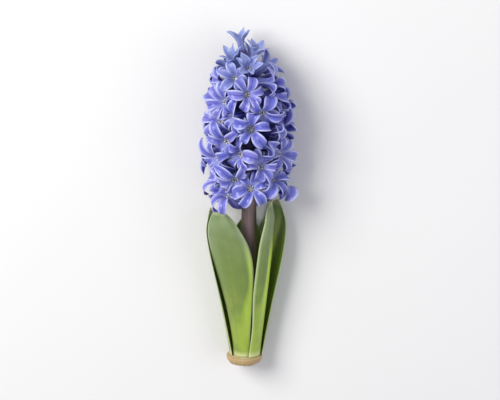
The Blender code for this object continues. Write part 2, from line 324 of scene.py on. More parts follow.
def ring_caps(rings, sides):
    """The two faces that close the first and the last ring."""
    return [tuple(range(sides))[::-1], tuple(range((rings - 1) * sides, rings * sides))]


def tube_skin(centres, radii, sides):
    """Points and faces of a round tube along centres, closed at both ends by a small cap."""
    centres = np.asarray(centres, float)
    along = np.gradient(centres, axis=0)
    along /= np.linalg.norm(along, axis=1)[:, None]
    side = np.cross(along, (0.31, 0.17, 0.93))  # any direction that no tube here runs along
    side /= np.linalg.norm(side, axis=1)[:, None]
    up = np.cross(along, side)
    turn = 2 * np.pi * np.arange(sides) / sides
    ring = np.cos(turn)[None, :, None] * side[:, None] + np.sin(turn)[None, :, None] * up[:, None]
    points = (centres[:, None] + np.asarray(radii)[:, None, None] * ring).reshape(-1, 3)
    return points, ring_quads(len(centres), sides) + ring_caps(len(centres), sides)


print("a tube of two rings of eight has", len(ring_quads(2, 8) + ring_caps(2, 8)), "faces")

# %% [markdown]
# ## Where the leaves stand
#
# Five strap leaves sheathe the stem in three layers. A leaf could be a plane that modifiers bend. Here
# a formula gives its middle surface, because the same formula then answers where the leaf tips are:
# the lowest petals lie on them. One margin of the two front leaves is folded over and stands up.

# %% Places of the leaves
LEAF_HOOK = 2.5 * MM
LEAF_FOOT_WRAP = math.radians(56)
LEAF_TIP_WIDTH = 0.5 * MM
FOLD_PLACE = 0.72
FOLD_DEPTH = 0.75
UNLIT = 2.0  # beyond the blade's margin, which is at 1, so that no flank of the leaf is lit


class Leaf:
    """One strap leaf: where it stands round the stem, how long and wide it is, and how it leans."""

    def __init__(self, node, angle, layer, tip_height, lean, half_width, twist=0, bow=0, sway=0, fold=0,
                 lit_from=UNLIT):
        self.node = node
        self.angle = math.radians(angle)
        self.foot_radius = STEM_FOOT_RADIUS + JOINT_GAP + LEAF_THICKNESS / 2 + layer * LEAF_LAYER
        self.tip_height = tip_height * MM
        self.lean = lean * MM
        self.half_width = half_width * MM
        self.twist = math.radians(twist)
        self.bow = bow * MM
        self.sway = sway * MM
        self.fold = fold
        self.lit_from = lit_from

    def middle(self, v, u):
        """The blade's middle surface, v along from foot to tip and u across from -1 to 1."""
        height = stem_foot + (self.tip_height - stem_foot) * v
        hook = LEAF_HOOK * smooth_step(0.86, 1.0, v)
        radius = self.foot_radius + self.lean * v**1.25 + self.bow * np.sin(np.pi * v) - hook
        foot = self.foot_radius * LEAF_FOOT_WRAP
        blade = foot + (self.half_width - foot) * smooth_step(0.05, 0.70, v)
        tip = np.maximum(0.0, (v - 0.66) / 0.34)
        half = blade * np.maximum(0.0, 1 - tip**2.2) ** 0.7 + LEAF_TIP_WIDTH * tip
        # the blade opens out halfway and closes into a hood at its tip
        bend = radius * (1 + 0.25 * smooth_step(0.3, 0.75, v)) * (1 - 0.5 * smooth_step(0.8, 1.0, v))
        turn = u * half / bend
        sideways = bend * np.sin(turn) + self.sway * v**1.6
        flank = np.maximum(0, self.fold * u - FOLD_PLACE) * smooth_step(0.15, 0.45, v)
        outwards = radius - bend + bend * np.cos(turn) - FOLD_DEPTH * half * flank
        angle = self.angle + self.twist * v
        centre = around(outwards, angle, height)
        return centre + sideways[..., None] * stack(np.cos(angle), np.sin(angle), np.zeros_like(angle))


LEAVES = [
    Leaf("leaf_1", angle=-24, layer=0, tip_height=107, lean=15, half_width=14.8, twist=-4, bow=1, sway=-12,
         fold=1, lit_from=0.76),
    Leaf("leaf_2", angle=72, layer=1, tip_height=111, lean=8, half_width=11, twist=4, bow=0.5,
         fold=-1, lit_from=-0.42),
    Leaf("leaf_3", angle=-119, layer=1, tip_height=101, lean=21, half_width=14, twist=4, bow=1.5, sway=-1),
    Leaf("leaf_4", angle=134, layer=2, tip_height=106, lean=15, half_width=14.5, twist=-4, bow=1),
    Leaf("leaf_5", angle=186, layer=0, tip_height=96, lean=8, half_width=13.5),
]
print("leaves:", len(LEAVES), "up to", max(leaf.tip_height for leaf in LEAVES) / MM, "mm high")

# %% [markdown]
# ## Where each floret stands
#
# A floret hangs on a short pedicel. Its tube rises and leans outwards, and its throat opens on the
# spike's outline. Young florets at the crown are smaller and less open. One floret copied fifty times
# would look made by a machine, so each one stands, nods and opens a little differently. The
# differences come from seeded random sources, so the flower is the same each time.

# %% Places of the florets
LOBES = 6
YOUNG_FROM = 0.60  # the share of the spike above which florets are younger and smaller
ANGLE_WANDER = 0.06  # radians to either side of the golden angle's place
HEIGHT_WANDER = 1.2  # millimetres up or down the stem
FOOT_STEP = 0.25 * MM
REACH_CHANGE = (-3.4, 0.6)  # millimetres that a throat stands further out than planned
BUD_SHORTER = 3.0  # millimetres that a bud stays behind
NOD = (-16, 44)  # degrees that a throat turns down
ASIDE = 42  # degrees that it turns to either side
OPENING = (0.82, 1.10)  # how far the lobes of one floret open, as a share of a full curl
BUD_CLOSED = 0.78  # how much less a bud at the crown opens


def spike_outline(share):
    """(radius, height) of the throats, at an equal share of the spike's surface from foot to crown."""
    height = np.linspace(SPIKE_FOOT, SPIKE_CROWN, 401)
    above = np.maximum(0, (height - SPIKE_SHOULDER) / (SPIKE_CROWN - SPIKE_SHOULDER))
    below = 1 - smooth_step(SPIKE_FOOT, SPIKE_FOOT + SPIKE_FOOT_ROUNDING, height)
    radius = THROAT_CIRCLE_RADIUS * np.maximum(0, 1 - above**1.9) ** 0.72 - SPIKE_FOOT_TUCK * below
    area = (radius[1:] + radius[:-1]) * np.hypot(np.diff(radius), np.diff(height))
    area = np.concatenate([[0], np.cumsum(area)])
    wanted = share * area[-1]
    return float(np.interp(wanted, area, radius)), float(np.interp(wanted, area, height))


class Floret:
    """Where one floret stands, how large it is and how far it has opened."""

    def __init__(self, index, chance):
        self.node = f"floret_{index + 1:02d}"
        share = (index + 0.5) / FLORETS
        radius, height = spike_outline(share)
        self.young = float(smooth_step(YOUNG_FROM, 1.0, share))
        self.scale = 1 - (1 - TOP_FLORET_SCALE) * self.young
        angle = FIRST_FLORET_ANGLE + index * GOLDEN_ANGLE + chance.uniform(-ANGLE_WANDER, ANGLE_WANDER)
        height += chance.uniform(-HEIGHT_WANDER, HEIGHT_WANDER) * MM
        self.throat = around(radius, angle, height)
        self.foot = self.foot_on_stem(radius, angle, height)
        self.length = float(np.linalg.norm(self.throat - self.foot))
        self.axis = (self.throat - self.foot) / self.length
        chance.random()  # a number that only the construction model needs
        self.roll = chance.uniform(0, 2 * math.pi / LOBES)
        self.side = np.cross(self.axis, (0, 0, 1))
        self.side /= np.linalg.norm(self.side)
        self.up = np.cross(self.axis, self.side)

    def foot_on_stem(self, radius, angle, height):
        """Steps down the stem until the pedicel and tube just reach the throat."""
        length = (PEDICEL_LENGTH + TUBE_LENGTH) * self.scale
        rise = FOOT_STEP * np.arange(120)
        off = JOINT_GAP + PEDICEL_RADIUS * self.scale * np.sin(np.arctan2(rise, radius))
        low = height - rise
        starts = around(stem_radius(low) + off, angle, low)
        miss = np.abs(np.linalg.norm(self.throat - starts, axis=1) - length)
        return starts[np.argmin(np.where(low <= STEM_TOP - 2 * MM, miss, np.inf))]

    def place(self, local):
        """Points of the floret's own frame (side, up, along its axis), as grown."""
        return self.foot + local @ np.stack([self.side, self.up, self.axis])

    def look(self, chance):
        """How this floret differs from its neighbours: how far it stands out, and where it faces."""
        self.bud = float(smooth_step(0.35, 1.0, self.young))
        self.reach = self.length + (chance.uniform(*REACH_CHANGE) - BUD_SHORTER * self.bud) * MM
        down = math.radians(chance.uniform(*NOD)) * (1 - self.bud)
        aside = math.radians(chance.uniform(-ASIDE, ASIDE)) * (1 - 0.7 * self.bud)
        self.tilt = math.hypot(down, aside)
        self.tilt_way = math.atan2(down, aside)
        self.open = (1 - BUD_CLOSED * self.bud) * chance.uniform(*OPENING)


place_chance = random.Random(7)
florets = [Floret(i, place_chance) for i in range(FLORETS)]
print("florets:", len(florets), "the youngest at", round(florets[-1].scale, 2), "of full size")

# %% How each floret differs
look_chance = random.Random(31)
for f in florets:
    f.look(look_chance)
misses = []
for f in florets:
    low, high = (np.array(c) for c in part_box(f.node))
    throat = laid(f.throat)
    misses.append(np.max(np.maximum(low - throat, throat - high)))
print("throats outside their node's box:", int(np.sum(np.array(misses) > 0)))

# %% [markdown]
# ## The shape of a floret
#
# The perianth of a hyacinth is one piece: a fleshy tube, swollen at its base, that splits into six
# lobes at the throat. Three of them are outer lobes, a little longer and hooded at the tip, and three
# are inner ones, narrower. Each lobe is channelled along its midrib and rolls back, most of all the
# outer ones, until its tip points at the stem. Sculpting one floret would give one shape. A formula
# gives as many as we like, so the sheet is a grid of columns round the tube, with eight columns to
# each lobe, and above the throat each lobe goes on alone.

# %% Measures of a floret at full size
COLUMNS = 8
STATIONS = 17
THROAT_RADIUS = 2.7 * MM
LOBE_LENGTH = 19.2 * MM
OUTER_HALF_WIDTH = 4.0 * MM
LOBE_START = math.radians(12)
OUTER_LOBE = {"half width": OUTER_HALF_WIDTH, "length": LOBE_LENGTH,
              "curl": math.radians(224), "hood": math.radians(24)}
INNER_LOBE = {"half width": 3.35 * MM, "length": 0.93 * LOBE_LENGTH,
              "curl": math.radians(204), "hood": math.radians(8)}
WIDEST_AT = 0.46
TIP_HALF_WIDTH = 0.22 * MM
CREASE_DEPTH = 0.26 * MM
CREASE_WIDTH = 0.2
RIPPLE_HEIGHT = 0.35 * MM
LOBE_WIDTHS = (0.88, 1.10)  # from here to BUD_LOBE_SHORTER: shares, by which lobes differ
LOBE_LENGTHS = (0.92, 1.06)
LOBE_CURLS = (0.76, 1.14)
CURL_DELAYS = (0.75, 1.35)
LOBE_SWAY = 0.30
BUD_NARROWER = 0.15
BUD_LOBE_SHORTER = 0.28
PETAL_MIDRIB = 0.95 * MM
PETAL_MARGIN = 0.38 * MM
NECK_LENGTH = 6.0 * MM
TUBE_PROFILE = (  # share of the tube from its foot to the throat, and radius at full size
    (0.00, 1.05 * MM), (0.10, 2.3 * MM), (0.26, 3.35 * MM), (0.44, 3.25 * MM),
    (0.62, 2.75 * MM), (0.80, 2.3 * MM), (0.92, 2.25 * MM), (1.00, 2.7 * MM),
)
TUBE_RINGS = 11
PEDICEL_RINGS = 4
PEDICEL_SINK = 0.7 * MM
RIB_DEPTH = 0.05
RIB_RUN_OUT = 6 * MM
print("lobe", 2 * OUTER_HALF_WIDTH / MM, "mm wide and", LOBE_LENGTH / MM, "mm long")


# %% Tube and neck
def tube_rows(floret):
    """(height along the axis, radius) of each ring from the pedicel's foot to below the throat."""
    tube_foot = floret.reach - TUBE_LENGTH * floret.scale
    shares, radii = np.array(TUBE_PROFILE).T
    share = np.linspace(0, 1, TUBE_RINGS + 1)
    pedicel = np.linspace(-PEDICEL_SINK, tube_foot, PEDICEL_RINGS + 1)[:-1]
    height = np.concatenate([pedicel, tube_foot + share * TUBE_LENGTH * floret.scale])
    radius = np.concatenate([np.full(PEDICEL_RINGS, radii[0]), np.interp(share, shares, radii)])
    for _ in range(2):  # the corners of the profile are blurred twice
        radius[1:-1] = (radius[:-2] + 2 * radius[1:-1] + radius[2:]) / 4
    return height, radius * floret.scale


def bent_neck(floret, local, rigid):
    """The floret's own points with the neck below its throat bent; lobes turn rigidly with the throat."""
    neck = NECK_LENGTH * floret.scale
    tilt = max(floret.tilt, 1e-4)
    side, up, height = np.moveaxis(local, -1, 0)
    way = np.array([math.cos(floret.tilt_way), math.sin(floret.tilt_way)])
    towards = side * way[0] + up * way[1]
    beside = up * way[0] - side * way[1]
    above = height - (floret.reach - neck)
    along_arc = np.full_like(above, neck) if rigid else np.clip(above, 0, neck)
    angle = tilt * along_arc / neck
    straight = above - along_arc
    moved = (1 - np.cos(angle)) * neck / tilt + towards * np.cos(angle) + straight * np.sin(angle)
    raised = np.sin(angle) * neck / tilt - towards * np.sin(angle) + straight * np.cos(angle)
    return stack(moved * way[0] - beside * way[1], moved * way[1] + beside * way[0],
                 floret.reach - neck + raised)


print("rings of a tube:", len(tube_rows(florets[0])[0]))


# %% One lobe
def lobe_points(floret, number, chance):
    """One lobe's middle surface: an array of stations by columns by 3 in the floret's own frame."""
    kind = OUTER_LOBE if number % 2 == 0 else INNER_LOBE
    scale = floret.scale
    half_width = kind["half width"] * chance.uniform(*LOBE_WIDTHS) * scale
    half_width *= 1 - BUD_NARROWER * floret.bud
    length = kind["length"] * chance.uniform(*LOBE_LENGTHS) * scale
    length *= 1 - BUD_LOBE_SHORTER * floret.bud
    curl = kind["curl"] * floret.open * chance.uniform(*LOBE_CURLS)
    hood = kind["hood"] * (0.4 + 0.6 * floret.open)
    sway = chance.uniform(-LOBE_SWAY, LOBE_SWAY)
    twist = chance.uniform(-1.0, 1.0)
    lilt = chance.uniform(-1.0, 1.0)
    late = chance.uniform(*CURL_DELAYS)

    # the line along the midrib: how far it leans out, and where that leads
    t = np.linspace(0, 1, STATIONS + 1)
    lean = LOBE_START + curl * t**late - hood * smooth_step(0.84, 1.0, t)
    step = length / STATIONS
    middle_lean = (lean[1:] + lean[:-1]) / 2
    out = THROAT_RADIUS * scale + np.concatenate([[0], np.cumsum(np.sin(middle_lean))]) * step
    rise = floret.reach + np.concatenate([[0], np.cumsum(np.cos(middle_lean))]) * step

    # the outline: as wide as its share of the throat at first, then full, then down to the tip
    seam = math.pi * THROAT_RADIUS * scale / LOBES
    half = seam + (half_width - seam) * smooth_step(0.0, 0.50, t)
    half *= np.maximum(0, 1 - np.maximum(0, (t - WIDEST_AT) / (1 - WIDEST_AT)) ** 1.8) ** 0.80
    half = np.maximum(half, TIP_HALF_WIDTH * scale)

    # across the lobe: cupped margins, a crease along the midrib, a ripple and a twist
    t, out, rise, lean, half = (a[:, None] for a in (t, out, rise, lean, half))
    u = np.linspace(-1, 1, COLUMNS + 1)[None, :]
    free = smooth_step(0.0, 0.34, t)
    cup = half * (0.50 - 0.34 * t + 0.22 * lilt * u) * u * u * free
    crease = -CREASE_DEPTH * scale * np.exp(-((u / CREASE_WIDTH) ** 2)) * free * (1 - 0.5 * t)
    ripple = RIPPLE_HEIGHT * scale * np.sin(6.5 * t + 3 * lilt + 2.2 * u) * np.abs(u) ** 2 * free
    across = u * half
    turned = twist * t * t * across
    raised = cup + crease + ripple + turned
    flat_out = out - raised * np.cos(lean)
    flat_rise = rise + raised * np.sin(lean)
    flat_across = across * np.cos(twist * t * t) + sway * length * t * t * free

    # near the throat the lobes still follow its circle
    round_angle = u * math.pi / LOBES
    ring_out, ring_across = out * np.cos(round_angle), out * np.sin(round_angle)
    o = ring_out + (flat_out - ring_out) * free
    a = ring_across + (flat_across - ring_across) * free
    r = rise + (flat_rise - rise) * free
    angle = floret.roll + 2 * math.pi * number / LOBES
    return stack(o * math.cos(angle) - a * math.sin(angle), o * math.sin(angle) + a * math.cos(angle), r)


print("points of a lobe:", lobe_points(florets[0], 0, random.Random(1)).shape)


# %% The middle surface of one floret
RINGS = PEDICEL_RINGS + TUBE_RINGS + 1
ROUND = LOBES * COLUMNS
TUBE_POINTS = RINGS * ROUND


def perianth_faces():
    """The quads of the sheet: rings of the tube, then six lobes that share the throat's ring."""
    faces = ring_quads(RINGS, ROUND)
    throat = TUBE_POINTS - ROUND
    width = COLUMNS + 1
    for lobe in range(LOBES):
        first = TUBE_POINTS + lobe * STATIONS * width
        below = [throat + (lobe * COLUMNS + c) % ROUND for c in range(width)]
        for station in range(STATIONS):
            row = [first + station * width + c for c in range(width)]
            faces += [(below[c], below[c + 1], row[c + 1], row[c]) for c in range(COLUMNS)]
            below = row
    return np.array(faces)


def perianth_points(floret, chance):
    """Points of the sheet in the order that perianth_faces expects, in the floret's own frame."""
    height, radius = tube_rows(floret)
    turn = floret.roll + 2 * np.pi * (np.arange(ROUND) / COLUMNS - 0.5) / LOBES
    swell = smooth_step(0, 1, (height - height[PEDICEL_RINGS]) / RIB_RUN_OUT)[:, None]
    ribbed = radius[:, None] * (1 + RIB_DEPTH * swell * np.cos(LOBES * (turn - floret.roll))[None, :])
    ribbed[-1] = radius[-1]
    straight = stack(ribbed * np.cos(turn), ribbed * np.sin(turn), height[:, None])
    tube = bent_neck(floret, straight, rigid=False)
    lobes = [bent_neck(floret, lobe_points(floret, k, chance)[1:], rigid=True) for k in range(LOBES)]
    return np.concatenate([tube.reshape(-1, 3)] + [lobe.reshape(-1, 3) for lobe in lobes])


PERIANTH = perianth_faces()
print("a floret's sheet has", len(PERIANTH), "quads")

# %% [markdown]
# ## Room for fifty florets
#
# On a full spike the florets touch. A lobe that meets its neighbour bends away along it. The room of a
# floret is everything nearer to its own axis than to any other, so each point is drawn in towards the
# axis before it would leave that room. With `give` above 1 the florets may reach a little into one
# another's room, as loosely packed petals do. This costs less than a collision test of every lobe
# against every other, and gives two shapes of the spike to work from: a tight one in which no two
# florets touch, and a loose one that the lobes would like to take.


# %% Drawing petals in towards their own axis
CROWDING_REACH = 46 * MM
PAST_THROAT = 12 * MM
HALVINGS = 18


def distance_to_axis(points, floret):
    offset = points - floret.foot
    along = np.clip(offset @ floret.axis, 0, floret.length + PAST_THROAT)
    return np.linalg.norm(offset - along[:, None] * floret.axis, axis=1)


def crowded(points, floret, give, starts):
    """Points of a floret as grown, kept to its room times give; starts is the share left as it is."""
    offset = points - floret.foot
    along = offset @ floret.axis
    centre = floret.foot + along[:, None] * floret.axis
    spread = points - centre
    reach = np.linalg.norm(spread, axis=1)
    outwards = spread / np.maximum(reach, 1e-9)[:, None]
    near_by = [f for f in florets
               if f is not floret and np.linalg.norm(f.throat - floret.throat) < CROWDING_REACH]
    near, far = np.zeros(len(points)), np.full(len(points), 2 * LOBE_LENGTH)
    for _ in range(HALVINGS):
        middle = (near + far) / 2
        tried = centre + middle[:, None] * outwards
        own = distance_to_axis(tried, floret) + NEIGHBOUR_GAP
        free = np.ones(len(points), bool)
        for other in near_by:
            free &= distance_to_axis(tried, other) > own
        near, far = np.where(free, middle, near), np.where(free, far, middle)
    limit = near * give
    eased = starts * limit
    room = np.maximum(limit - eased, 1e-9)
    drawn = eased + room * (1 - np.exp(-np.maximum(reach - eased, 0) / room))
    return centre + np.where(reach > eased, drawn, reach)[:, None] * outwards


print("florets crowd each other within", CROWDING_REACH / MM, "mm")

# %% The florets as they would grow
SIZE_ALLOWANCE = 0.022
FITTING_TRIES = 3
CLOSE_ENOUGH = 0.1 * MM
box_low, box_high = (np.array(corner) for corner in cad_box)
HIGHEST = box_high + SIZE_ALLOWANCE * (box_high - box_low)
LOWEST = box_low - SIZE_ALLOWANCE * (box_high - box_low)


def grow(index):
    """A floret's sheet as grown, drawn back along its tube until its lobes keep to the flower's size."""
    floret = florets[index]
    for _ in range(FITTING_TRIES):
        points = floret.place(perianth_points(floret, random.Random(230 + index)))
        lying = laid(points)
        over = max((lying - HIGHEST).max(), (LOWEST - lying)[:, :2].max())
        if over < CLOSE_ENOUGH:
            break
        floret.reach -= 1.1 * over
    return points


grown = [grow(i) for i in range(FLORETS)]
tight = np.stack([laid(crowded(points, f, give=1.0, starts=0.70)) for points, f in zip(grown, florets)])
loose = np.stack([laid(crowded(points, f, give=1.55, starts=0.62)) for points, f in zip(grown, florets)])
print("florets shaped:", tight.shape)

# %% [markdown]
# ## Letting the petals settle
#
# Petals that have grown side by side don't pass through each other: they lie against one another, and
# that is what gives a full spike its jumble. Blender's cloth simulation could do this, but with three
# hundred lobes it is slow. We start from the tight shape and let every lobe open towards its own loose
# shape in small steps. After each step, points of different lobes that came too close push each other
# apart, and the push is shared out over the lobe so that it bends and doesn't dent. The tubes, the
# leaves and the table stay where they are.


# %% Points that come too close
def close_pairs(points, reach):
    """The pairs of points nearer to each other than reach, as two lists of their numbers."""
    cells = np.floor(points / reach).astype(np.int64)
    cells -= cells.min(axis=0) - 1
    spans = cells.max(axis=0) + 2
    keys = (cells[:, 0] * spans[1] + cells[:, 1]) * spans[2] + cells[:, 2]
    order = np.argsort(keys, kind="stable")
    keys = keys[order]
    steps = [(x * spans[1] + y) * spans[2] + z
             for x in (-1, 0, 1) for y in (-1, 0, 1) for z in (-1, 0, 1)]
    firsts, seconds = [], []
    for step in (s for s in steps if s >= 0):
        begin = np.searchsorted(keys, keys + step, "left")
        counts = np.searchsorted(keys, keys + step, "right") - begin
        first = np.repeat(np.arange(len(keys)), counts)
        second = np.arange(counts.sum()) - np.repeat(np.cumsum(counts) - counts, counts)
        second += np.repeat(begin, counts)
        kept = second > first
        first, second = order[first[kept]], order[second[kept]]
        near = np.linalg.norm(points[first] - points[second], axis=1) < reach
        firsts.append(first[near])
        seconds.append(second[near])
    return np.concatenate(firsts), np.concatenate(seconds)


corners = np.array([(x, y, z) for x in (0, 1) for y in (0, 1) for z in (0, 1)], float)
print("edges of a cube, found as close pairs:", len(close_pairs(corners, 1.1)[0]))

# %% Settling the lobes
PETAL_SPACING = 1.12 * MM
SETTLING_STEPS = 22
RESTING_STEPS = 5
PUSH_ROUNDS = 2
PULL_TO_SHAPE = 0.12  # how soon a lobe that was pushed turns back to its loose shape
EVEN_OUT = 0.12  # how much the points that nothing touches count when a push is shared out
PUSH_FURTHER = 1.5  # makes up for what sharing out takes from a push
TABLE_GAP = 0.5 * MM
OUTSIDE_FROM = 0.45  # the share of a lobe from which it may meet its own floret's other lobes
LOBE_GRID = (FLORETS * LOBES, STATIONS, COLUMNS + 1)
LOBE_POINTS = math.prod(LOBE_GRID)
lobe_share = np.linspace(0, 1, STATIONS + 1)[1:]
held = smooth_step(0.0, 0.32, lobe_share)[None, :, None, None]


def lobes_of(sheets):
    return sheets[:, TUBE_POINTS:].reshape(*LOBE_GRID, 3)


def blurred(grid):
    """A lobe grid (lobe, station, column, number) blurred with its neighbours 1:2:1 both ways."""
    for axis in (1, 2):
        ends = [(0, 0)] * grid.ndim
        ends[axis] = (1, 1)
        wide = np.pad(grid, ends, mode="edge")
        count = grid.shape[axis]
        before, here, after = (np.take(wide, np.arange(i, i + count), axis) for i in (0, 1, 2))
        grid = (before + 2 * here + after) / 4
    return grid


def still_points():
    """The florets' tubes and the leaves: what the lobes may lie against, and whose each point is."""
    tubes = tight[:, :TUBE_POINTS].reshape(FLORETS, -1, ROUND, 3)[:, PEDICEL_RINGS:-2, ::2]
    owners = np.repeat(np.arange(FLORETS), tubes[0].size // 3)
    v, u = np.meshgrid(np.linspace(0.5, 1, 50), np.linspace(-1, 1, 25), indexing="ij")
    blades = np.concatenate([laid(leaf.middle(v, u)).reshape(-1, 3) for leaf in LEAVES])
    points = np.concatenate([tubes.reshape(-1, 3), blades])
    return points, np.concatenate([owners, np.full(len(blades), FLORETS)])


still, still_owner = still_points()
floret_of = np.concatenate([np.repeat(np.arange(FLORETS), LOBE_POINTS // FLORETS), still_owner])
lobe_of = np.concatenate([np.repeat(np.arange(LOBE_GRID[0]), LOBE_POINTS // LOBE_GRID[0]),
                          np.full(len(still), -1)])
outside = np.concatenate([np.broadcast_to(lobe_share[None, :, None] > OUTSIDE_FROM, LOBE_GRID).ravel(),
                          np.zeros(len(still), bool)])
print("points that may move:", LOBE_POINTS, "and that stay:", len(still))


# %% One push and the whole settling
def pushed_apart(state):
    """The lobes after one push, and the gaps that were too small."""
    points = np.concatenate([state.reshape(-1, 3), still])
    first, second = close_pairs(points, PETAL_SPACING)
    # lobes of one floret are joined at their feet, so they are kept apart only further out
    apart = floret_of[first] != floret_of[second]
    apart |= (lobe_of[first] != lobe_of[second]) & outside[first] & outside[second]
    apart &= (first < LOBE_POINTS) | (second < LOBE_POINTS)
    first, second = first[apart], second[apart]
    between = points[first] - points[second]
    gap = np.linalg.norm(between, axis=1)
    share = np.where((first < LOBE_POINTS) & (second < LOBE_POINTS), 0.5, 1.0)
    push = between * ((PETAL_SPACING - gap) * share / np.maximum(gap, 1e-7))[:, None]
    ends = np.concatenate([first, second])
    pushes = np.concatenate([push, -push])
    met = np.bincount(ends, minlength=len(points))[:LOBE_POINTS]
    total = np.stack([np.bincount(ends, pushes[:, a], len(points))[:LOBE_POINTS] for a in range(3)], 1)
    inside = np.clip(points[:LOBE_POINTS], LOWEST, HIGHEST) - points[:LOBE_POINTS]
    met += np.abs(inside).max(axis=1) > 0
    total += inside
    weight = (EVEN_OUT + (met > 0)).reshape(*LOBE_GRID, 1)
    mean = (total / np.maximum(met, 1)[:, None]).reshape(*LOBE_GRID, 3) * weight
    for _ in range(3):
        mean, weight = blurred(mean), blurred(weight)
    state = state + PUSH_FURTHER * held * mean / weight
    state[..., 2] = np.maximum(state[..., 2], TABLE_GAP)
    return state, gap


def settle(start, goal):
    """The lobes opened from start towards goal without passing through each other."""
    state, way = start.copy(), (goal - start) * held / SETTLING_STEPS
    for step in range(SETTLING_STEPS + RESTING_STEPS):
        if step < SETTLING_STEPS:
            wanted = start + way * (step + 1)
            state = state + way + PULL_TO_SHAPE * held * (wanted - state - way)
        for _ in range(PUSH_ROUNDS):
            state, gap = pushed_apart(state)
        if step % 9 == 0 or step == SETTLING_STEPS + RESTING_STEPS - 1:
            print("  step", step, "pairs too close:", len(gap), "nearest", round(gap.min() / MM, 2), "mm")
    return state


packed = tight.copy()
packed[:, TUBE_POINTS:] = settle(lobes_of(tight), lobes_of(loose)).reshape(FLORETS, -1, 3)
print("lobes settled:", LOBE_GRID[0])

# %% [markdown]
# ## Petal tissue
#
# A hyacinth petal is soft, waxy and full of water. Its colour sits in the cells of its skin: violet
# blue, deepest along the midrib, and pale at the thin margin, where there are few cells to hold colour.
# Here the margin is painted almost white, which is partly that pale colour and partly a painted
# highlight along the curled edges. The throat is painted pale, partly its own colour and partly painted
# light against the shade deep in the tube, and the tube is painted deeper, partly its own colour and
# partly painted shade. Rows of cells run lengthwise and show as fine streaks. Light soaks in and glows
# a little, which subsurface scattering gives, and the wax puts a soft gloss on every curl.
#
# A painted picture would have to be unwrapped onto every petal. Instead each point of the mesh carries
# its place on the petal, along and across, and the material reads those numbers. So the streaks follow
# a petal however it curls, and each petal has a tint of its own.

# %% Petal material
PETAL_STREAK_SPACING = 0.55 * MM  # real rows of cells are finer: drawn as coarse as they need to show
PETAL_STREAK_DEPTH = 0.25 * MM
PETAL_STREAKS = 2 * OUTER_HALF_WIDTH / PETAL_STREAK_SPACING
STREAKS_END_TO_END = 1.6
TINT_SHIFT = 40.0  # moves the streaks, so that no two petals have the same ones


def petal_tissue():
    """Waxy living tissue: a soft gloss over a colour that light sinks into."""
    material, tree, shader = new_material(
        "petal tissue", roughness=0.38, IOR=1.42, Subsurface_Weight=0.22, Subsurface_Scale=0.0022,
        Subsurface_Radius=(0.6, 0.6, 1.0), Coat_Weight=0.30, Coat_Roughness=0.30)
    along, across, inside, tint, bud = (
        add(tree, "Attribute", attribute_name=name)
        for name in ("along", "across", "inside", "tint", "bud"))
    away = add(tree, "Math", across, operation="ABSOLUTE")
    place = add(tree, "CombineXYZ",
                add(tree, "Math", across, PETAL_STREAKS / 2, operation="MULTIPLY"),
                add(tree, "Math", along, STREAKS_END_TO_END, operation="MULTIPLY"),
                add(tree, "Math", tint, TINT_SHIFT, operation="MULTIPLY"))
    streak = add(tree, "TexNoise", Vector=place, Scale=1.0, Detail=3.0)

    # the two faces, then violet or blue petals, the streaks and the midrib
    face = layered(tree, add(tree, "Mix", inside, "#585BAC", "#686BBE"),
                   ("#8680D0", tint, 0.45, 1.0, 0.0, 0.75),
                   ("#4B54B0", tint, 0.55, 0.0, 0.0, 0.60),
                   ("#464AA6", streak, 0.35, 0.75, 0.0, 0.45),
                   ("#4145A0", away, 0.0, 0.30, 0.80, 0.0))
    # pale margin: partly the thin margin's own paler colour and partly a painted highlight along the curled
    # edges, broken up by the streaks
    edge = add(tree, "Math", add(tree, "MapRange", away, 0.52, 1.0),
               add(tree, "MapRange", streak, 0.3, 0.62, 0.95, 0.55), operation="MULTIPLY")
    face = add(tree, "Mix", edge, face, "#C6CAF2")
    # pale throat: partly the throat's own paler colour and partly painted light that lifts the shade deep in
    # the tube
    throat = add(tree, "Math", add(tree, "MapRange", along, 0.24, 0.0, 0.0, 0.75), inside,
                 operation="MULTIPLY")
    face = add(tree, "Mix", throat, face, "#A3A9DC")
    # the tube is painted deeper in colour, outside from the throat down and inside only at its bottom:
    # partly the tube's own deeper violet and partly painted shade for the dark gaps between florets and deep
    # in the tube
    lit = add(tree, "Math", add(tree, "MapRange", along, -0.50, -0.10), inside, operation="MULTIPLY")
    tube = add(tree, "Math", add(tree, "MapRange", along, -0.12, -0.75), lit, operation="SUBTRACT")
    face = add(tree, "Mix", tube, face, "#413F97")
    young = add(tree, "Math", bud, 0.75, operation="MULTIPLY")
    face = add(tree, "Mix", young, face, "#8F9DC8")
    stalked = layered(tree, face, ("#5C5F78", along, -0.80, -1.10, 0.0, 1.0))
    dress(tree, shader, stalked, relief=streak, strength=0.25, depth=PETAL_STREAK_DEPTH)
    return material


petal = petal_tissue()
print("nodes of the petal tissue:", len(petal.node_tree.nodes))

# %% Pollen and pistil
POLLEN_CLUMP = 0.35 * MM  # single grains are far too fine to see, so this is how they clump
PISTIL_MOTTLE = 0.8 * MM


def pollen_coat():
    """Anthers covered in pale cream pollen: dull and powdery, without any gloss."""
    material, tree, shader = new_material("pollen", roughness=0.85)
    grains = add(tree, "TexNoise", Vector=add(tree, "TexCoord"), Scale=1 / POLLEN_CLUMP, Detail=2.0)
    dress(tree, shader, layered(tree, "#D9D6CC", ("#F0EEDD", grains, 0.35, 0.65, 0.0, 1.0)))
    return material


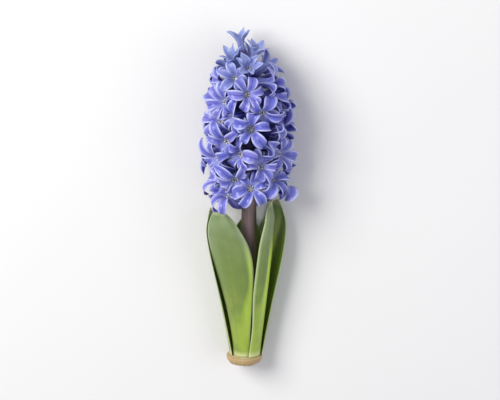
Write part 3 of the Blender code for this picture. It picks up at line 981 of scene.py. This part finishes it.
def pistil_tissue():
    """The swollen ovary at the bottom of the throat: smooth and pale, green flushed with violet."""
    material, tree, shader = new_material("pistil tissue", roughness=0.5, Subsurface_Weight=0.2,
                                          Subsurface_Scale=0.002)
    flush = add(tree, "TexNoise", Vector=add(tree, "TexCoord"), Scale=1 / PISTIL_MOTTLE, Detail=2.0)
    dress(tree, shader, layered(tree, "#B9BDDD", ("#D0D4CC", flush, 0.35, 0.65, 0.0, 1.0)))
    return material


pistil = pistil_tissue()
pollen = pollen_coat()
print("made", pistil.name, "and", pollen.name)

# %% [markdown]
# ## Fifty florets
#
# Each floret grew as one piece, so it is made as one: the closed skin of its perianth, and inside the
# throat a pistil with six anthers round it. They could be left out, as the throat is narrow, but the
# pale dots of the anthers are what makes an open floret look alive.

# %% Numbers that a petal carries
FLOOR_CLEARANCE = 0.06 * MM
THINNER_TOWARDS_TIP = 0.35


def sheet_values():
    """Numbers per sheet point that stay the same for every floret: along and across."""
    share = np.concatenate([np.linspace(-1.6, -1.1, PEDICEL_RINGS), np.linspace(-1, 0, TUBE_RINGS + 1)])
    column = np.arange(ROUND)
    tube_across = (column % COLUMNS) / (COLUMNS / 2) - 1
    lobe_along = np.repeat(lobe_share, COLUMNS + 1)
    lobe_across = np.tile(np.linspace(-1, 1, COLUMNS + 1), STATIONS)
    along = np.concatenate([np.repeat(share, ROUND), np.tile(lobe_along, LOBES)])
    across = np.concatenate([np.tile(tube_across, RINGS), np.tile(lobe_across, LOBES)])
    return along, across


ALONG, ACROSS = sheet_values()
THICKNESS = PETAL_MARGIN + (PETAL_MIDRIB - PETAL_MARGIN) * (1 - ACROSS**2)
THICKNESS *= 1 - THINNER_TOWARDS_TIP * smooth_step(0.5, 1.0, ALONG)
print("petal", round(THICKNESS.min() / MM, 2), "to", round(THICKNESS.max() / MM, 2), "mm thick")

# %% Pistil and anthers
ANTHER_RADIUS = 0.50 * MM
ANTHER_HALF_LENGTH = 1.6 * MM
ANTHER_HEIGHT = -0.5 * MM
ANTHER_CIRCLE = 1.70 * MM
PISTIL_PROFILE = (  # height from the throat, and radius
    (-5.0, 0.7), (-4.1, 1.35), (-3.1, 1.7), (-2.3, 1.7), (-1.6, 1.35), (-1.1, 0.8), (-0.8, 0.3),
)


def body_in_throat(floret, turn, run, circle, radii):
    """A small closed body inside the tube: run is its heights from the throat, radii its own there."""
    height = floret.reach + np.asarray(run) * floret.scale
    local = stack(circle * floret.scale * math.cos(turn), circle * floret.scale * math.sin(turn), height)
    centres = laid(floret.place(bent_neck(floret, local, rigid=False)))
    return tube_skin(centres, np.asarray(radii) * floret.scale, sides=8)


def heart(floret):
    """The pistil and the six anthers round it, as one list of points and two lists of faces."""
    pistil_run, pistil_radii = np.array(PISTIL_PROFILE).T * MM
    bodies = [body_in_throat(floret, 0.0, pistil_run, 0.0, pistil_radii)]
    run = np.linspace(-1, 1, 7)
    anther_run = ANTHER_HEIGHT + ANTHER_HALF_LENGTH * run
    anther_radii = ANTHER_RADIUS * np.sqrt(np.maximum(0.05, 1 - run**2))
    for k in range(LOBES):
        turn = floret.roll + math.pi * (2 * k + 1) / LOBES
        bodies.append(body_in_throat(floret, turn, anther_run, ANTHER_CIRCLE, anther_radii))
    points, faces = [], []
    for skin, quads in bodies:
        faces.append([tuple(i + sum(len(p) for p in points) for i in q) for q in quads])
        points.append(skin)
    return np.concatenate(points), faces[0], [q for body in faces[1:] for q in body]


print("points of a floret's heart:", len(heart(florets[0])[0]))


# %% The florets
def make_floret(floret, sheet, tints):
    sheet = sheet.copy()
    count = len(sheet)
    thickness = THICKNESS * floret.scale
    sheet[:, 2] = np.maximum(sheet[:, 2], thickness / 2 + FLOOR_CLEARANCE)
    points, faces = closed_skin(sheet, PERIANTH, thickness)
    points[:, 2] = np.maximum(points[:, 2], FLOOR_CLEARANCE)
    tint = np.concatenate([np.full(TUBE_POINTS, np.mean(tints)), np.repeat(tints, STATIONS * (COLUMNS + 1))])
    heart_points, pistil_faces, anther_faces = heart(floret)
    extra = len(heart_points)
    faces = [tuple(f) for f in faces]
    material_of = [0] * len(faces) + [1] * len(pistil_faces) + [2] * len(anther_faces)
    faces += [tuple(i + len(points) for i in f) for f in pistil_faces + anther_faces]

    def both_sides(numbers):
        return np.concatenate([numbers, numbers, np.zeros(extra)])

    values = {"along": both_sides(ALONG), "across": both_sides(ACROSS), "tint": both_sides(tint),
              "bud": both_sides(floret.bud * smooth_step(-1.2, 0.9, ALONG)),
              "inside": np.concatenate([np.zeros(count), np.ones(count), np.zeros(extra)])}
    made = make_mesh(floret.node + "_bloom", np.concatenate([points, heart_points]), faces,
                     [petal, pistil, pollen], values, material_of)
    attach(made, "root")
    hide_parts(floret.node)
    return made


tint_chance = random.Random(5)
blooms = []
for f, sheet in zip(florets, packed):
    own = tint_chance.random()
    tints = [0.6 * own + 0.4 * tint_chance.random() for _ in range(LOBES)]
    blooms.append(make_floret(f, sheet, tints))
print("florets made:", len(blooms), "with", sum(len(b.data.polygons) for b in blooms), "faces")

# %% [markdown]
# ## The stem
#
# The flower stem is round, solid and smooth, as thick as a pencil. On blue kinds it is green at its
# foot, then flushed mauve-brown, and bluish inside the spike. It widens slightly where each pedicel
# leaves it. A curve with a bevel would give a plain round stem, but those swellings need points of
# their own, so it is made of rings that are pushed outwards near each pedicel.

# %% Stem material
STEM_RIDGE_SPACING = 0.6 * MM  # drawn a little coarser than the real fine ridges
STEM_RIDGE_DEPTH = 0.3 * MM
STEM_RIDGES = math.pi * STEM_FOOT_RADIUS / STEM_RIDGE_SPACING  # those on half of the stem
FLUSH_PATCHES = 9.0


def flushed_stem():
    """Firm green tissue under a mauve flush: duller than a leaf, with less wax on it than a petal."""
    material, tree, shader = new_material(
        "flushed stem", roughness=0.48, IOR=1.4, Subsurface_Weight=0.1, Subsurface_Scale=0.002,
        Coat_Weight=0.1, Coat_Roughness=0.4)
    along, across = (add(tree, "Attribute", attribute_name=name) for name in ("along", "across"))
    place = add(tree, "CombineXYZ",
                add(tree, "Math", across, STEM_RIDGES, operation="MULTIPLY"),
                add(tree, "Math", along, FLUSH_PATCHES, operation="MULTIPLY"))
    flush = add(tree, "TexNoise", Vector=place, Scale=1.0, Detail=4.0)
    # the flush, the green foot and the bluish top
    colour = layered(tree, "#6A5A5C",
                     ("#7C6A66", flush, 0.3, 0.7, 0.0, 1.0),
                     ("#93A65C", along, 0.0, 0.35, 1.0, 0.0),
                     ("#4F4A78", along, 0.55, 0.75, 0.0, 1.0))
    dress(tree, shader, colour, relief=flush, strength=0.2, depth=STEM_RIDGE_DEPTH)
    return material


stem_tissue = flushed_stem()
print("ridges round the stem:", round(2 * STEM_RIDGES))

# %% The stem's shape
STEM_STEPS = 160
STEM_SIDES = 40
STEM_TIP_ROUNDING = (0.97, 0.88, 0.70, 0.30)
SWELLING_HEIGHT = 0.9 * MM
SWELLING_WIDTH = 2.2 * MM


def make_stem():
    heights = np.linspace(stem_foot, STEM_TOP + 1.0 * MM, STEM_STEPS + 1)
    radii = stem_radius(heights)
    radii[-4:] *= STEM_TIP_ROUNDING
    turn = 2 * np.pi * np.arange(STEM_SIDES) / STEM_SIDES
    grid = around(radii[:, None], turn[None, :], heights[:, None])
    for f in florets:
        gap = np.linalg.norm(grid - f.foot, axis=-1)
        swell = SWELLING_HEIGHT * f.scale * np.exp(-((gap / SWELLING_WIDTH) ** 2))
        out = grid * (1, 1, 0)
        grid = grid + swell[..., None] * out / np.linalg.norm(out, axis=-1, keepdims=True)
    points = laid(grid).reshape(-1, 3)
    faces = ring_quads(STEM_STEPS + 1, STEM_SIDES) + ring_caps(STEM_STEPS + 1, STEM_SIDES)
    # across runs there and back, so that the pattern meets itself at the back of the stem
    values = {"along": np.repeat(heights / STEM_TOP, STEM_SIDES),
              "across": np.tile(np.abs(np.arange(STEM_SIDES) * 2 / STEM_SIDES - 1), STEM_STEPS + 1)}
    made = make_mesh("flower_stem", points, faces, [stem_tissue], values)
    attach(made, "root")
    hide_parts("stem")
    return made


stem = make_stem()
print("stem made with", len(stem.data.polygons), "faces")

# %% [markdown]
# ## The leaves
#
# Five strap leaves sheathe the stem. Each is bent like a shallow boat, thick along the keel, thin at
# the margins, and closes into a hood at the tip. The blade is lime green near the foot, where it grew
# in shade, and turns a greyer green towards the tip, with fine parallel veins from end to end. The
# flank that is folded up is painted the brightest, yellow-green: painted light, the glow of thin tissue
# with light behind it, put into the colour. As with the petals, the mesh carries the numbers along and
# across the blade, so veins and bands follow its bend.

# %% Leaf material
LEAF_VEIN_SPACING = 0.9 * MM  # coarser than the real spacing, or the veins would vanish
LEAF_VEIN_DEPTH = 0.3 * MM
LEAF_WIDTH = 30.0 * MM
LEAF_VEINS = LEAF_WIDTH / LEAF_VEIN_SPACING
VEINS_END_TO_END = 1.1
LEAF_CLOUD = 7.0 * MM  # soft patches of tone
LEAF_TINT_SHIFT = 30.0


def leaf_blade():
    """Thick waxy leaf: a cool even gloss, and a little light that soaks into its margins."""
    material, tree, shader = new_material(
        "leaf blade", roughness=0.38, IOR=1.42, Subsurface_Weight=0.12, Subsurface_Scale=0.002,
        Subsurface_Radius=(0.6, 1.0, 0.2), Coat_Weight=0.2, Coat_Roughness=0.3)
    along, across, inside, tint, flank = (
        add(tree, "Attribute", attribute_name=name)
        for name in ("along", "across", "inside", "tint", "flank"))
    away = add(tree, "Math", across, operation="ABSOLUTE")
    place = add(tree, "CombineXYZ",
                add(tree, "Math", across, LEAF_VEINS / 2, operation="MULTIPLY"),
                add(tree, "Math", along, VEINS_END_TO_END, operation="MULTIPLY"),
                add(tree, "Math", tint, LEAF_TINT_SHIFT, operation="MULTIPLY"))
    vein = add(tree, "TexNoise", Vector=place, Scale=1.0, Detail=2.0)
    cloud = add(tree, "TexNoise", Vector=add(tree, "TexCoord"), Scale=1 / LEAF_CLOUD, Detail=2.0)
    # from foot to tip, then the clouds and the veins
    colour = layered(tree, "#97AA40",
                     ("#708441", along, 0.05, 0.62, 0.0, 1.0),
                     ("#7D8C66", along, 0.55, 1.0, 0.0, 1.0),
                     ("#647A3C", cloud, 0.35, 0.7, 0.0, 0.45),
                     ("#5E7636", vein, 0.35, 0.7, 0.0, 0.40))
    # painted light: the folded-up flank is painted bright yellow-green, as if lit through from behind, most
    # near the foot
    lit = add(tree, "Math", flank, add(tree, "MapRange", along, 0.05, 0.45, 0.35, 1.0),
              operation="MULTIPLY")
    colour = add(tree, "Mix", lit, colour, "#B9D84A")
    colour = layered(tree, colour, ("#B5C196", away, 0.86, 1.0, 0.0, 0.75))
    colour = add(tree, "Mix", add(tree, "Math", inside, 0.35, operation="MULTIPLY"), colour, "#7F9A3E")
    # the pale tip and the pale foot
    colour = layered(tree, colour,
                     ("#CDD29A", along, 0.95, 1.0, 0.0, 0.8),
                     ("#DDDDB0", along, 0.0, 0.05, 0.7, 0.0))
    dress(tree, shader, colour, relief=vein, strength=0.35, depth=LEAF_VEIN_DEPTH)
    return material


blade = leaf_blade()
print("veins across a leaf:", round(LEAF_VEINS))

# %% The leaves' shape
LEAF_STATIONS = 72
LEAF_COLUMNS = 28
BLADE_MIDRIB = 1.6 * MM
BLADE_MARGIN = 0.45 * MM
BLADE_THINS_BY = 0.42
LEAF_TINT_STEP = 0.17


def painted_glow_flank(leaf, v, u):
    """How far each point belongs to the flank painted as lit through from behind: most of the foot, and less
    above it.
    """
    low = 1 - smooth_step(0.0, 0.55, v)
    flank = smooth_step(leaf.lit_from - 1.5 * low, leaf.lit_from + 0.16 + 0.3 * low, u)
    return flank * (1 - smooth_step(0.62, 0.84, v))


def make_leaf(leaf, tint):
    v = np.linspace(0, 1, LEAF_STATIONS + 1)[:, None] * np.ones((1, LEAF_COLUMNS + 1))
    u = np.ones((LEAF_STATIONS + 1, 1)) * np.linspace(-1, 1, LEAF_COLUMNS + 1)[None, :]
    points = laid(leaf.middle(v, u)).reshape(-1, 3)
    v, u = v.ravel(), u.ravel()
    thickness = BLADE_MARGIN + (BLADE_MIDRIB - BLADE_MARGIN) * (1 - u * u) ** 0.8
    thickness *= 1 - BLADE_THINS_BY * smooth_step(0.3, 1.0, v)
    points[:, 2] = np.maximum(points[:, 2], thickness / 2 + FLOOR_CLEARANCE)
    width = LEAF_COLUMNS + 1
    first = np.arange(LEAF_COLUMNS)[None, :] + width * np.arange(LEAF_STATIONS)[:, None]
    faces = np.stack([first, first + 1, first + width + 1, first + width], -1).reshape(-1, 4)
    skin, quads = closed_skin(points, faces, thickness)
    skin[:, 2] = np.maximum(skin[:, 2], FLOOR_CLEARANCE)
    values = {"along": np.tile(v, 2), "across": np.tile(u, 2), "tint": np.full(len(skin), tint),
              "flank": np.tile(painted_glow_flank(leaf, v, u), 2),
              "inside": np.repeat([0.0, 1.0], len(points))}
    made = make_mesh(leaf.node + "_blade", skin, quads, [blade], values)
    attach(made, "root")
    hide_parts(leaf.node)
    return made


leaves = [make_leaf(leaf, LEAF_TINT_STEP * i) for i, leaf in enumerate(LEAVES)]
for made, leaf in zip(leaves, LEAVES):
    low, high = (np.array(c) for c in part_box(leaf.node))
    own = np.array([v.co for v in made.data.vertices])
    print(leaf.node, "differs from its node's box by",
          np.round(np.abs(np.stack([own.min(0) - low, own.max(0) - high])).max() / MM, 2), "mm")

# %% [markdown]
# ## The basal plate
#
# The cut end is a slice of the bulb's basal plate: firm, corky and cream coloured. Its underside
# carries the scars of the roots, and the rim is a little darker where the cut has dried. A ring of
# vessels shows as fine dots. A Screw modifier could turn the profile, but the scars stand out from it
# as small bosses with a pit, so the rings of the profile are built here and raised at each scar.

# %% Cork tissue
CORK_GRAIN = 0.7 * MM
CORK_GRAIN_DEPTH = 0.35 * MM
CORK_CLOUD = 5.0 * MM
VESSEL_SPACING = 0.8 * MM  # coarser than the real vessels, which would vanish
VESSEL_CIRCLE = 0.46
VESSEL_RING_WIDTH = 0.16


def cork():
    """Cut and dried cork: matt, slightly rough, darkest where it dried first."""
    material, tree, shader = new_material("cut cork tissue", roughness=0.72, Subsurface_Weight=0.1,
                                          Subsurface_Scale=0.0015)
    out, scar = (add(tree, "Attribute", attribute_name=name) for name in ("out", "scar"))
    place = add(tree, "TexCoord")
    grain = add(tree, "TexNoise", Vector=place, Scale=1 / CORK_GRAIN, Detail=5.0)
    cloud = add(tree, "TexNoise", Vector=place, Scale=1 / CORK_CLOUD, Detail=2.0)
    vessels = add(tree, "TexVoronoi", Vector=place, Scale=1 / VESSEL_SPACING)
    off_ring = add(tree, "Math", add(tree, "Math", out, VESSEL_CIRCLE, operation="SUBTRACT"),
                   operation="ABSOLUTE")
    in_ring = add(tree, "Math", 1.0, add(tree, "MapRange", off_ring, 0.0, VESSEL_RING_WIDTH),
                  operation="SUBTRACT")
    dots = add(tree, "Math", in_ring, add(tree, "MapRange", vessels, 0.30, 0.05, 0.0, 0.8),
               operation="MULTIPLY")
    cut = layered(tree, "#E2DABB", ("#CDBF93", cloud, 0.3, 0.7, 0.0, 1.0))
    colour = layered(tree, add(tree, "Mix", dots, cut, "#9A8A4E"),
                     ("#A08C5C", grain, 0.5, 0.75, 0.0, 0.35),
                     ("#A98B5B", out, 0.62, 0.98, 0.0, 0.85))
    colour = add(tree, "Mix", add(tree, "Math", scar, 0.8, operation="MULTIPLY"), colour, "#7A5F3C")
    dress(tree, shader, colour, relief=grain, strength=0.5, depth=CORK_GRAIN_DEPTH)
    return material


cork_tissue = cork()
print("made", cork_tissue.name)

# %% Basal plate
PLATE_SIDES = 144
CUT_FACE = 0.72
ROOT_SCARS = 22
SCAR_CIRCLE = 0.80
SCAR_WANDER = 0.05
SCAR_RADIUS = 0.085
SCAR_HEIGHT = 0.55 * MM
PIT_DEPTH = 0.40 * MM


def plate_profile():
    """(share of the radius, share of the thickness) from the middle of the cut face round the rim."""
    face = [(r, 0.20 - 0.18 * smooth_step(0.1, 0.7, r)) for r in np.linspace(0.01, CUT_FACE, 16)]
    turn = np.linspace(0.0, math.pi / 2, 14)[1:]
    rim = [(CUT_FACE + (1 - CUT_FACE) * math.sin(a), 0.02 + 0.80 * (1 - math.cos(a))) for a in turn]
    return np.array(face + rim + [(1.0, 0.93), (0.985, 0.99), (0.95, 1.0), (0.7, 1.0), (0.01, 1.0)])


def make_plate():
    out, up = plate_profile().T
    turn = 2 * np.pi * np.arange(PLATE_SIDES) / PLATE_SIDES
    rough = 1 + 0.012 * np.sin(3 * turn + 1) + 0.009 * np.sin(7 * turn) + 0.006 * np.sin(13 * turn + 2)
    out, up, angle = out[:, None], up[:, None], turn[None, :]
    scar_angle = 2 * np.pi / ROOT_SCARS
    off = (angle + 0.5 * scar_angle) % scar_angle - 0.5 * scar_angle
    gap = np.hypot(out - SCAR_CIRCLE - SCAR_WANDER * np.sin(5 * angle), SCAR_CIRCLE * off)
    scar = np.exp(-((gap / SCAR_RADIUS) ** 4)) * (up < 0.6)
    pit = np.exp(-((gap / (0.4 * SCAR_RADIUS)) ** 2)) * (up < 0.6)
    dome = SCAR_HEIGHT * scar - PIT_DEPTH * pit
    radius = out * (1 + (rough[None, :] - 1) * smooth_step(0.3, 0.9, out)) * PLATE_RADIUS
    grid = around(radius + 0.5 * dome * out, angle, np.maximum(up * PLATE_THICKNESS - dome, 0.0))
    points = laid(grid).reshape(-1, 3)
    points[:, 2] = np.maximum(points[:, 2], FLOOR_CLEARANCE)
    faces = ring_quads(len(out), PLATE_SIDES) + ring_caps(len(out), PLATE_SIDES)
    values = {"out": np.repeat(out[:, 0], PLATE_SIDES), "scar": scar.ravel()}
    made = make_mesh("basal_plate_slice", points, faces, [cork_tissue], values)
    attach(made, "root")
    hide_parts("basal_plate")
    return made


plate = make_plate()
print("basal plate made with", ROOT_SCARS, "root scars")

# %% [markdown]
# ## Floor, light and camera
#
# The flower lies on a plain pale board under soft studio light. A single bare lamp would leave the deep
# gaps between the petals black. So a large lamp from the upper left, as wide as a window, models the
# curls with soft shadows, a weaker one from the right lightens them, and a bright even surround fills
# the rest. The camera sees the flower as someone sees it standing: from its front and a little above
# its tip. Here that means from high up, looking down.

# %% Floor
BOARD_HALF = 3.0
BOARD_CLOUD = 170.0 * MM


def coated_board():
    """Matt coated board: no gloss, and a tone that varies so little that it looks plain."""
    material, tree, shader = new_material("pale matt board", roughness=0.7)
    cloud = add(tree, "TexNoise", Vector=add(tree, "TexCoord"), Scale=1 / BOARD_CLOUD, Detail=4.0)
    dress(tree, shader, add(tree, "Mix", cloud, "#DCDBDB", "#E2E1E0"))
    return material


floor_corners = [(-1, -1, 0), (1, -1, 0), (1, 1, 0), (-1, 1, 0)]
floor = make_mesh("table_surface", BOARD_HALF * np.array(floor_corners), [(0, 1, 2, 3)], [coated_board()])
floor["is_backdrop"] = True
print("floor", 2 * BOARD_HALF, "m wide")


# %% Light
LIT_PLACE = Vector((0, 0, 0.02))
SURROUND_STRENGTH = 0.50


def make_lamp(name, place, size, power, colour):
    """A round area lamp that faces the flower; size in metres and power in watts."""
    light = bpy.data.lights.new(name, "AREA")
    light.shape = "DISK"
    light.size = size
    light.energy = power
    light.color = tone(colour)[:3]
    lamp = bpy.data.objects.new(name, light)
    lamp.location = place
    lamp.rotation_euler = (LIT_PLACE - Vector(place)).to_track_quat("-Z", "Y").to_euler()
    bpy.context.scene.collection.objects.link(lamp)


make_lamp("window_lamp", (-0.75, 0.55, 0.95), size=0.8, power=18.5, colour="#FFFEFA")
make_lamp("fill_lamp", (0.9, -0.1, 0.7), size=0.9, power=3.5, colour="#F6F8FF")
world = bpy.data.worlds.new("soft surround")
bpy.context.scene.world = world
world.use_nodes = True
world.node_tree.nodes["Background"].inputs["Color"].default_value = tone("#F6F7FF")
world.node_tree.nodes["Background"].inputs["Strength"].default_value = SURROUND_STRENGTH
bpy.context.scene.view_settings.view_transform = "Standard"

# %% Camera
VIEW_ABOVE_TIP = math.radians(17)
CAMERA_DISTANCE = 1.6
SENSOR_WIDTH = 36.0
PICTURE_WIDTH, PICTURE_HEIGHT = 500, 400
FILLED_HEIGHT = 0.90


def make_camera():
    low, high = (Vector(c) for c in cad_box)
    from_level = math.radians(90) - VIEW_ABOVE_TIP + STEM_TILT
    back = Vector((0, math.cos(from_level), math.sin(from_level)))
    right = Vector((1, 0, 0))
    up = back.cross(right)
    rise = (high.y - low.y) * abs(up.y) + (high.z - low.z) * abs(up.z)
    wanted_height = rise / FILLED_HEIGHT
    data = bpy.data.cameras.new("camera")
    data.sensor_width = SENSOR_WIDTH
    data.lens = data.sensor_width * CAMERA_DISTANCE / (wanted_height * PICTURE_WIDTH / PICTURE_HEIGHT)
    camera = bpy.data.objects.new("camera", data)
    camera.location = (low + high) / 2 + back * CAMERA_DISTANCE
    camera.rotation_euler = Matrix((right, up, back)).transposed().to_euler()
    bpy.context.scene.collection.objects.link(camera)
    bpy.context.scene.camera = camera
    return camera


camera = make_camera()
print("lens", round(camera.data.lens, 1), "mm, seen from", tuple(round(c, 2) for c in camera.location))

# %% [markdown]
# ## Last checks
#
# The finished flower has to keep to the construction model's size. Both boxes are printed.

# %% Sizes and finish
seen_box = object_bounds()
for label, corners in (("construction", cad_box), ("visual", seen_box)):
    print(label, [[round(c / MM, 2) for c in corner] for corner in corners])
